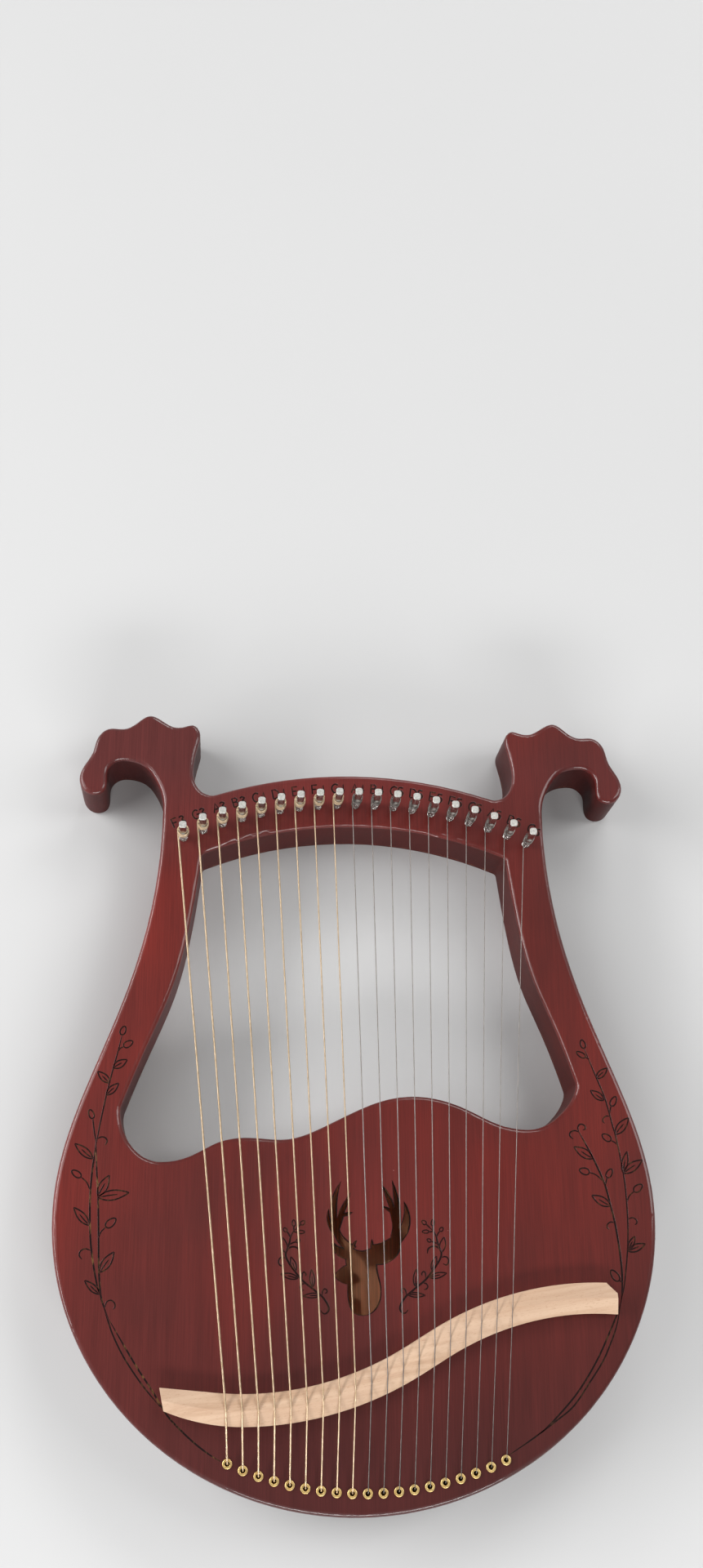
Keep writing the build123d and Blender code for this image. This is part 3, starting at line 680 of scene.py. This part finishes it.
def bass_vine():
    """Long double-stemmed spray beside the bass strings."""
    b = Build()
    stalk(b, 0.83, (-138.3, 262.5), (-140.0, 254), (-142.6, 243), (-145.3, 231), (-147.5, 219),
          (-149.4, 208), (-150.8, 198))
    stalk(b, 1.06, (-150.6, 203), (-151.5, 192), (-152.4, 183), (-152.8, 172), (-152.6, 160),
          (-151.5, 145), (-149.5, 133), (-147.0, 122), (-145.0, 116), core=2)
    stalk(b, 1.06, (-150.8, 201), (-149.8, 185), (-148.5, 172), (-147.8, 160), (-147.2, 148),
          (-146.6, 135), (-145.8, 125), (-144.6, 116), (-142.6, 110), (-139.4, 102.5), core=2)
    stalk(b, 0.83, (-153.2, 214), (-152.4, 208.5), (-151.0, 201))
    stalk(b, 0.87, (-142.8, 110), (-139.8, 102), (-136.5, 94), (-130.0, 82.5), (-120.0, 69),
          (-110.0, 57.8))
    stalk(b, 0.96, (-139.0, 102.5), (-132.0, 91.5), (-123.0, 77.8), (-114.5, 66.0), (-108.0, 56.0),
          (-102.5, 49.5), (-92.0, 40.0), (-83.0, 33.4), (-76.4, 29.6), core=2)
    stalk(b, 0.76, (-140.3, 252.8), (-138.9, 254.6), (-137.0, 255.7))
    bud(b, (-138.6, 262.6), (-136.9, 267.6), 3.3)
    bud(b, (-137.0, 255.7), (-132.0, 258.7), 3.7)
    leaf(b, (-142.6, 243.2), (-134.8, 247.9), 4.2)
    leaf(b, (-144.4, 234.5), (-151.6, 241.0), 3.8)
    leaf(b, (-146.0, 227.5), (-139.2, 234.2), 3.8)
    bud(b, (-153.2, 214), (-155.2, 218.9), 3.0)
    stalk(b, 0.83, (-150.4, 202.2), (-148.0, 203.4), (-145.6, 202.9), (-144.5, 201.0), (-145.5, 198.8))
    leaf(b, (-152.4, 191.2), (-162.8, 199.6), 4.3)
    stalk(b, 0.76, (-153.0, 173.5), (-155.2, 178.0), (-158.6, 181.0))
    bud(b, (-158.6, 181.0), (-163.8, 184.4), 3.4)
    leaf(b, (-148.4, 170.3), (-142.6, 181.8), 5.0)
    leaf(b, (-148.2, 169.6), (-131.0, 172.2), 5.4)
    leaf(b, (-152.8, 154.3), (-161.8, 164.0), 4.2)
    stalk(b, 0.76, (-147.2, 147.3), (-145.9, 150.6), (-143.2, 153.3))
    bud(b, (-143.2, 153.3), (-138.0, 157.8), 4.2)
    stalk(b, 0.83, (-151.2, 140.4), (-154.2, 141.4), (-156.9, 140.2), (-157.5, 137.8), (-156.0, 135.7))
    leaf(b, (-145.6, 128.8), (-138.2, 139.6), 4.8)
    leaf(b, (-145.4, 117.0), (-153.9, 124.3), 3.5)
    stalk(b, 0.76, (-142.3, 109.2), (-141.3, 112.6), (-139.0, 113.7), (-136.9, 112.2), (-136.5, 110.2),
         (-137.5, 108.8))
    return b


def treble_vine():
    """Its partner beside the treble strings: an outer and an inner spray."""
    b = Build()
    stalk(b, 0.83, (136.9, 256.2), (138.3, 252.3), (140.6, 246), (143.6, 238), (147.0, 229),
          (149.2, 221), (151.1, 212), (153.0, 204), (155.0, 192), (156.3, 182), (157.0, 172),
          (157.2, 160), (156.9, 150), (156.0, 140), (154.6, 130), (152.6, 119), (150.8, 113), (149.4, 107))
    stalk(b, 1.12, (131.2, 206.5), (134.6, 200), (138.5, 192), (142.0, 184), (145.0, 176),
          (147.4, 165), (149.6, 154), (151.2, 140), (151.9, 128), (151.4, 117), (150.2, 110))
    stalk(b, 0.87, (150.0, 109.5), (147.0, 98), (143.0, 88.8), (138.0, 79.2), (130.0, 68.3),
          (120.0, 55.7), (109.0, 47.6), (100.0, 41.5), (91.5, 36.2), (82.4, 30.8))
    stalk(b, 0.96, (150.6, 112), (148.2, 105.5), (143.2, 95.5), (136.0, 82.0), (128.0, 69.8),
          (120.0, 59.8), (110.0, 49.8), (103.0, 43.6), (98.5, 40.6))
    stalk(b, 0.76, (139.6, 249.4), (138.6, 250.2), (137.4, 250.8))
    bud(b, (136.9, 256.2), (135.6, 261.2), 3.1)
    bud(b, (137.4, 250.8), (132.2, 253.9), 3.0)
    leaf(b, (143.4, 238.2), (150.4, 244.4), 3.8)
    leaf(b, (147.2, 225.4), (139.4, 231.0), 4.0)
    stalk(b, 0.76, (150.2, 217.6), (150.7, 220.0), (151.4, 222.0))
    bud(b, (151.4, 222.0), (154.4, 227.4), 3.4)
    stalk(b, 0.76, (150.2, 215.8), (148.0, 216.0), (146.3, 214.8), (145.8, 213.1), (146.8, 211.7))
    leaf(b, (152.9, 205.4), (161.4, 215.1), 4.8)
    stalk(b, 0.76, (153.6, 199.4), (152.0, 200.8), (149.9, 201.9))
    bud(b, (149.9, 201.9), (145.0, 205.2), 3.8)
    leaf(b, (156.0, 183.4), (159.2, 195.4), 3.5)
    leaf(b, (156.4, 183.0), (168.0, 190.6), 4.8)
    stalk(b, 0.76, (157.2, 166.2), (159.0, 170.0), (162.0, 172.6))
    bud(b, (162.0, 172.6), (166.9, 176.3), 3.8)
    stalk(b, 0.76, (157.4, 156.8), (160.0, 157.7), (162.2, 156.4), (162.4, 154.6), (161.2, 153.7))
    leaf(b, (156.6, 139.8), (160.7, 147.2), 3.0)
    leaf(b, (156.4, 139.0), (166.6, 143.0), 3.9)
    stalk(b, 0.76, (151.8, 121.6), (150.8, 122.4), (149.8, 122.6))
    bud(b, (149.8, 122.6), (145.6, 128.4), 4.0)
    stalk(b, 0.87, (131.2, 206.4), (130.6, 209.0), (131.5, 210.9), (133.2, 211.2), (134.9, 210.1),
         (134.8, 208.3), (133.5, 207.9))
    stalk(b, 0.87, (131.4, 206.6), (128.6, 207.5), (126.0, 206.5), (125.6, 204.4), (127.5, 202.6))
    leaf(b, (138.6, 191.4), (127.7, 198.1), 4.9)
    stalk(b, 0.76, (144.0, 178.2), (141.0, 181.2), (138.4, 182.7), (136.0, 183.3))
    bud(b, (136.0, 183.3), (130.3, 184.9), 3.9)
    stalk(b, 0.76, (145.1, 175.8), (145.8, 178.4), (146.4, 180.5))
    bud(b, (146.4, 180.5), (149.4, 185.3), 3.4)
    leaf(b, (147.4, 164.4), (136.8, 170.3), 4.7)
    stalk(b, 0.76, (149.6, 154.6), (147.2, 155.3), (145.1, 154.0), (144.8, 152.2), (145.8, 151.1))
    return b


SPRIG_MIRROR_X = 3.1


def sprig(side):
    """Small leafy sprig beside the stag's head; side 1 is its mirror image."""
    b = Build()

    def at(x, y):
        return (x if side == 0 else 2 * SPRIG_MIRROR_X - x, y)

    def line(width, *points):
        stalk(b, width, *[at(*p) for p in points])

    line(1.12, (-35.6, 151.9), (-37.2, 150.4), (-38.7, 147.4), (-39.3, 144.4), (-40.5, 141),
         (-41.4, 138.4), (-41.0, 136.0), (-39.0, 132.4), (-36.0, 128.4), (-33.0, 124.8),
         (-30.0, 122.1), (-26.6, 119.6), (-23.6, 117.2), (-21.0, 115.2), (-18.6, 112.2),
         (-17.2, 109.4), (-17.3, 107.2), (-19.0, 105.7), (-20.7, 106.3), (-21.7, 107.6))
    line(0.86, (-35.6, 151.9), (-34.0, 153.4), (-32.9, 154.4))
    line(0.86, (-36.8, 151.0), (-36.9, 152.4), (-36.8, 153.4))
    line(0.86, (-36.9, 150.4), (-35.6, 150.1), (-34.4, 150.2))
    line(0.86, (-38.8, 147.0), (-39.8, 149.2), (-41.0, 150.5))
    line(0.86, (-39.4, 143.3), (-37.4, 144.3), (-35.6, 144.8))
    for base, tip, breadth in (((-36.8, 153.4), (-37.0, 156.9), 2.0), ((-32.9, 154.4), (-30.7, 156.2), 2.2),
                               ((-34.4, 150.2), (-30.7, 150.2), 1.9), ((-41.0, 150.5), (-42.6, 152.4), 2.0),
                               ((-35.6, 144.8), (-33.4, 145.9), 1.8)):
        bud(b, at(*base), at(*tip), breadth, 0.72)
    leaf(b, at(-41.4, 138.8), at(-43.2, 147.1), 3.3, vein=0, width=0.78)
    leaf(b, at(-35.8, 128.8), at(-38.5, 136.6), 2.9, width=0.75)
    leaf(b, at(-34.4, 125.0), at(-44.2, 127.3), 2.9, width=0.78)
    leaf(b, at(-26.0, 120.2), at(-26.8, 129.6), 2.7, width=0.75)
    leaf(b, at(-21.6, 115.8), at(-31.6, 115.3), 2.5, width=0.75)
    line(0.96, (-40.8, 139.6), (-39.0, 141.7), (-36.2, 142.0), (-33.9, 140.6), (-33.3, 138.1))
    line(0.86, (-41.3, 135.8), (-43.4, 136.4), (-45.1, 135.4), (-45.4, 133.4), (-44.2, 131.8),
         (-42.2, 132.5))
    line(0.81, (-32.0, 124.6), (-32.0, 127.2), (-31.0, 128.3), (-29.9, 127.2), (-30.1, 126.0))
    line(0.81, (-30.4, 122.1), (-32.3, 121.6), (-33.2, 120.1), (-32.4, 118.8), (-31.0, 118.4))
    line(0.81, (-20.8, 115.6), (-20.5, 117.8), (-19.4, 119.1), (-18.1, 118.4), (-18.2, 117.1),
         (-19.3, 116.8))
    return b


def soundhole_edge():
    """Narrow near-black line round the stag: painted shade along the soundhole's edge."""
    mesh = nodes["soundboard"].data
    outward = {}
    segments = []
    for face in mesh.polygons:
        centre = face.center / MM
        if abs(face.normal.z) > WALL_LEAN or not near_stag(centre.x, centre.y) or at_wave(centre):
            continue
        for key in face.edge_keys:
            ends = [tuple(round(c / MM, 3) for c in mesh.vertices[k].co) for k in key]
            if min(end[2] for end in ends) > BOARD_TOP - 0.01:
                segments.append(ends)
                for end in ends:
                    outward.setdefault(end, Vector((0, 0, 0))).xy += face.normal.xy
    b = Build()
    for start, end in segments:
        first = len(b.vertices)
        for place in (start, end):
            width = SOUNDHOLE_SHADE_WIDTH * (0.6 + 0.8 * abs(math.sin(0.19 * place[0] + 0.13 * place[1])))
            inner = Vector(place) - outward[place].normalized() * width
            b.vertices.append((place[0], place[1], BOARD_TOP + GROOVE_LIFT))
            b.vertices.append((inner.x, inner.y, BOARD_TOP + GROOVE_LIFT))
        along = Vector(end) - Vector(start)
        left_turn = along.cross(outward[start]).z < 0
        if left_turn:
            b.quad(first, first + 2, first + 3, first + 1)
        else:
            b.quad(first, first + 1, first + 3, first + 2)
    return b


# Single-line letters and figures in a box one unit high, drawn like an engraver's.
GLYPHS = {
    "A": [[(0, 0), (0.36, 1), (0.72, 0)], [(0.14, 0.36), (0.58, 0.36)]],
    "B": [[(0, 0), (0, 1), (0.38, 0.98), (0.52, 0.78), (0.38, 0.55), (0, 0.53)],
          [(0.36, 0.54), (0.60, 0.30), (0.40, 0.02), (0, 0)]],
    "C": [[(0.66, 0.86), (0.42, 1.0), (0.12, 0.84), (0.0, 0.5), (0.12, 0.14), (0.42, 0.0), (0.68, 0.14)]],
    "D": [[(0, 0), (0, 1), (0.34, 0.98), (0.62, 0.74), (0.66, 0.45), (0.54, 0.16), (0.28, 0.01), (0, 0)]],
    "E": [[(0.55, 1), (0, 1), (0, 0), (0.58, 0)], [(0, 0.52), (0.46, 0.52)]],
    "F": [[(0.56, 1), (0, 1), (0, 0)], [(0, 0.52), (0.46, 0.52)]],
    "G": [[(0.66, 0.86), (0.42, 1.0), (0.12, 0.84), (0.0, 0.5), (0.12, 0.14), (0.42, 0.0), (0.70, 0.12),
           (0.70, 0.46), (0.42, 0.46)]],
    "3": [[(0, 0.9), (0.28, 1.0), (0.50, 0.80), (0.24, 0.55), (0.52, 0.28), (0.28, 0.0), (0, 0.1)]],
    "4": [[(0.42, 0), (0.42, 1), (0, 0.32), (0.58, 0.32)]],
    "5": [[(0.50, 1), (0.08, 1), (0.04, 0.56), (0.34, 0.62), (0.54, 0.34), (0.34, 0.02), (0, 0.08)]],
    "6": [[(0.46, 0.94), (0.14, 0.72), (0.0, 0.32), (0.24, 0.0), (0.52, 0.24), (0.30, 0.54), (0.04, 0.36)]],
}
ROUND_GLYPHS = "CG356"
LETTER_HEIGHT, FIGURE_HEIGHT = 5.8, 5.4
LETTER_LINE = 0.95
LABEL_OUT, LABEL_ALONG = 8.0, -2.6          # lower left corner of a label from its pin
FIGURE_STEP = 4.9
YOKE_CENTRE_Y = 153.5
NOTE_LETTERS = "FGABCDE"
FIRST_OCTAVE = 3


def labels():
    """The note of each string, cut beside its pin and turned to follow the yoke."""
    b = Build()
    octave = FIRST_OCTAVE
    for index in range(STRINGS):
        letter = NOTE_LETTERS[index % len(NOTE_LETTERS)]
        octave += letter == "C"
        x, y = pin_centre(index)
        y += Y_END
        out = Vector((x, y - YOKE_CENTRE_Y)).normalized()
        along = Vector((out.y, -out.x))
        corner = Vector((x, y)) + out * LABEL_OUT + along * LABEL_ALONG
        for glyph, height, shift in ((letter, LETTER_HEIGHT, 0.0),
                                     (str(octave), FIGURE_HEIGHT, FIGURE_STEP)):
            for stroke in GLYPHS[glyph]:
                points = [corner + along * (shift + u * height) + out * v * height for u, v in stroke]
                if glyph in ROUND_GLYPHS:
                    points = smooth_line(points, 5)
                groove(b, points, LETTER_LINE, taper=False)
    return b


# The line round the soundhole is painted shade; the others are engraving.
for name, build in (("engraved_bass_vine", bass_vine()), ("engraved_treble_vine", treble_vine()),
                    ("engraved_bass_sprig", sprig(0)), ("engraved_treble_sprig", sprig(1)),
                    ("engraved_note_names", labels()), ("painted_soundhole_shade", soundhole_edge())):
    piece = build.piece(name, BURNT, LACQUER, THIN_BURN, smooth=False)
    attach(piece, "frame")


# ---------------------------------------------------------------- floor, light and camera
FLOOR_SIZE = 14.0
FLOOR_GAP = 0.0002          # so that the floor and the flat back don't share a plane
bpy.ops.mesh.primitive_plane_add(size=FLOOR_SIZE, location=(0, 0, -FLOOR_GAP))
floor = bpy.context.object
floor.name = "floor"
floor.data.materials.append(studio_floor())


def hang(light, place, target):
    """Puts a lamp at a place, turned towards its target."""
    lamp = bpy.data.objects.new(light.name, light)
    lamp.location = place
    lamp.rotation_euler = (Vector(target) - Vector(place)).to_track_quat("-Z", "Y").to_euler()
    bpy.context.scene.collection.objects.link(lamp)


def area_light(name, place, target, size, watts):
    light = bpy.data.lights.new(name, "AREA")
    light.shape = "RECTANGLE"
    light.size, light.size_y = size
    light.energy = watts
    hang(light, place, target)


area_light("left_softbox", (-1.35, 0.35, 1.25), (0, 0, 0.03), (0.7, 1.4), 9)
area_light("right_softbox", (1.45, 0.35, 1.25), (0, 0, 0.03), (0.7, 1.4), 14)
area_light("back_softbox", (0.75, 1.75, 1.25), (0, 0.1, 0.03), (1.4, 0.6), 18)
area_light("front_strip", (0.15, -1.5, 0.75), (0, -0.1, 0.03), (1.4, 0.3), 22)
area_light("left_strip", (-2.2, 0.35, 1.05), (0, 0.05, 0.03), (2.8, 0.5), 60)

# A narrow steep lamp that reaches the back through the soundhole.
spot = bpy.data.lights.new("soundhole_lamp", "SPOT")
spot.energy = 26
spot.spot_size = math.radians(5.5)
spot.spot_blend = 1.0
spot.shadow_soft_size = 0.07
hang(spot, (-0.42, 0.22, 1.45), (0.004, -0.088, 0.03))

world = bpy.data.worlds.new("studio")
bpy.context.scene.world = world
world.use_nodes = True
sky = world.node_tree.nodes["Background"]
sky.inputs["Color"].default_value = rgb(1.0, 1.0, 1.0)
sky.inputs["Strength"].default_value = 0.18
bpy.context.scene.view_settings.view_transform = "Standard"

CAMERA_PLACE = (-0.0811, -0.1440, 1.0035)
CAMERA_TURN = (19.034, -4.554, -0.461)      # lean towards the scrolls, lean sideways, roll
CAMERA_LENS = 37.5
camera = bpy.data.objects.new("camera", bpy.data.cameras.new("camera"))
camera.location = CAMERA_PLACE
camera.rotation_euler = [math.radians(a) for a in CAMERA_TURN]
camera.data.lens = CAMERA_LENS
camera.data.sensor_width = 36.0
bpy.context.scene.collection.objects.link(camera)
bpy.context.scene.camera = camera
